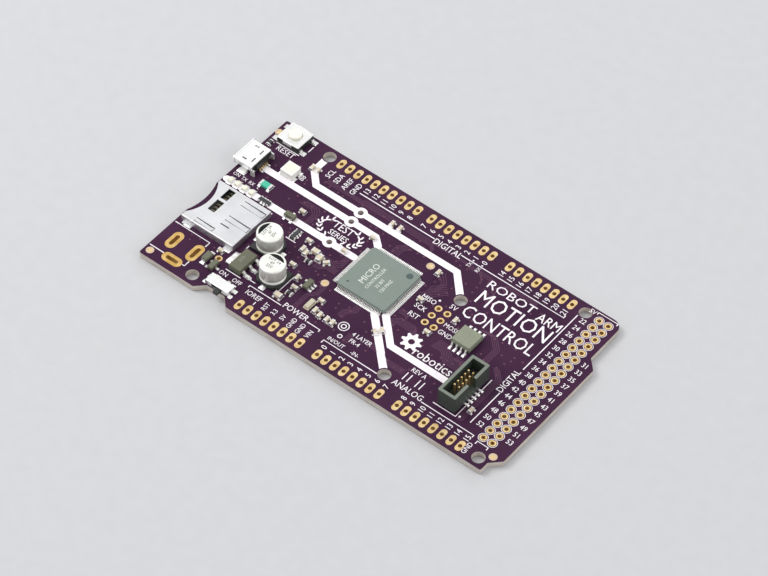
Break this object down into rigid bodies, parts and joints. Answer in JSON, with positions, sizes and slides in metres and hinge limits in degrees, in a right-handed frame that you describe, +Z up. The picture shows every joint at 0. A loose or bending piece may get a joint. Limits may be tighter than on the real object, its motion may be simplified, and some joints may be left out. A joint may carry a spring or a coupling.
{
  "type": "microcontroller development board",
  "caption": "Slotted rectangular controller board with micro-USB and memory-card sockets, reset button, slide power switch, boxed debug header and bare plated header rows.",
  "frame": {"origin": "centre of the mounting hole beside the power switch, at the board's underside", "axes": "+X along the board away from the USB socket, +Y across the board from the power and analog header row towards the digital header row, +Z up out of the component side"},
  "size_m": [0.1023, 0.0533, 0.007],
  "materials": {
    "solder_mask_laminate": "glass-epoxy board under glossy purple solder mask, bare cream edges",
    "gold_plating": "immersion gold over nickel",
    "tinned_steel": "bright tin-plated steel sheet",
    "card_shell_steel": "satin rolled stainless sheet",
    "tinned_leads": "bright tin plate",
    "spring_wire": "drawn stainless spring wire and sheet",
    "black_moulding": "black glass-filled moulding",
    "white_moulding": "off-white moulding",
    "moulded_epoxy": "grey-green spark-finish moulded epoxy",
    "dark_epoxy": "dark spark-finish moulded epoxy",
    "can_aluminium": "drawn aluminium can",
    "tan_ceramic": "fired ceramic",
    "dark_ceramic": "glass-coated alumina",
    "green_fuse_body": "translucent green polymer",
    "lamp_resin": "milky clear resin"
  },
  "bodies": {
    "board": {"circuit_board": "solder_mask_laminate", "digital_header_pads": "gold_plating", "analog_header_pads": "gold_plating", "power_header_pads": "gold_plating", "double_row_pads": "gold_plating", "programming_pads": "gold_plating", "barrel_jack_pads": "gold_plating", "fiducial_targets": "gold_plating", "usb_socket_shell": "tinned_steel", "usb_socket_insulator": "black_moulding", "usb_socket_contacts": "gold_plating", "card_socket_shell": "card_shell_steel", "card_socket_base": "black_moulding", "card_socket_contacts": "gold_plating", "card_eject_spring": "spring_wire", "card_latch_rod": "spring_wire", "card_detect_leaf": "gold_plating", "reset_button_base": "black_moulding", "reset_button_cover": "tinned_steel", "reset_button_dome": "spring_wire", "reset_button_terminals": "tinned_leads", "power_switch_cover": "tinned_steel", "power_switch_base": "black_moulding", "power_switch_terminals": "tinned_leads", "microcontroller_body": "moulded_epoxy", "microcontroller_leads": "tinned_leads", "flash_memory_body": "moulded_epoxy", "flash_memory_leads": "tinned_leads", "voltage_regulator_body": "dark_epoxy", "voltage_regulator_leads": "tinned_leads", "transistor_bodies": "dark_epoxy", "transistor_leads": "tinned_leads", "diode_body": "dark_epoxy", "diode_leads": "tinned_leads", "capacitor_cans": "can_aluminium", "capacitor_bases": "black_moulding", "capacitor_leads": "tinned_leads", "ceramic_capacitor_bodies": "tan_ceramic", "resistor_bodies": "dark_ceramic", "chip_terminals": "tinned_leads", "fuse_body": "green_fuse_body", "fuse_terminals": "tinned_leads", "resistor_array_bodies": "dark_ceramic", "resistor_array_terminals": "tinned_leads", "crystal_base": "tan_ceramic", "crystal_lid": "tinned_steel", "indicator_lamp_bases": "white_moulding", "indicator_lamp_lenses": "lamp_resin", "indicator_lamp_terminals": "gold_plating", "colour_lamp_case": "white_moulding", "colour_lamp_lens": "lamp_resin", "colour_lamp_leads": "tinned_leads", "debug_header_box": "black_moulding", "debug_header_pins": "gold_plating"},
    "reset_plunger": {"reset_button_plunger": "white_moulding"},
    "power_knob": {"power_switch_knob": "black_moulding", "power_switch_wiper": "gold_plating"},
    "card_ejector": {"card_eject_slider": "black_moulding"}
  },
  "joints": [
    {"name": "reset_press", "type": "slide", "parent": "board", "child": "reset_plunger", "axis": [0, 0, -1], "range_m": [0, 0.00025], "stiffness_N_per_m": 6000, "springref_m": -0.00005, "deforming": ["reset_button_dome"]},
    {"name": "power_slide", "type": "slide", "parent": "board", "child": "power_knob", "axis": [-1, 0, 0], "range_m": [0, 0.0015]},
    {"name": "card_eject_slide", "type": "slide", "parent": "board", "child": "card_ejector", "axis": [1, 0, 0], "range_m": [0, 0.0013], "stiffness_N_per_m": 300, "springref_m": -0.001, "deforming": ["card_eject_spring"]}
  ]
}
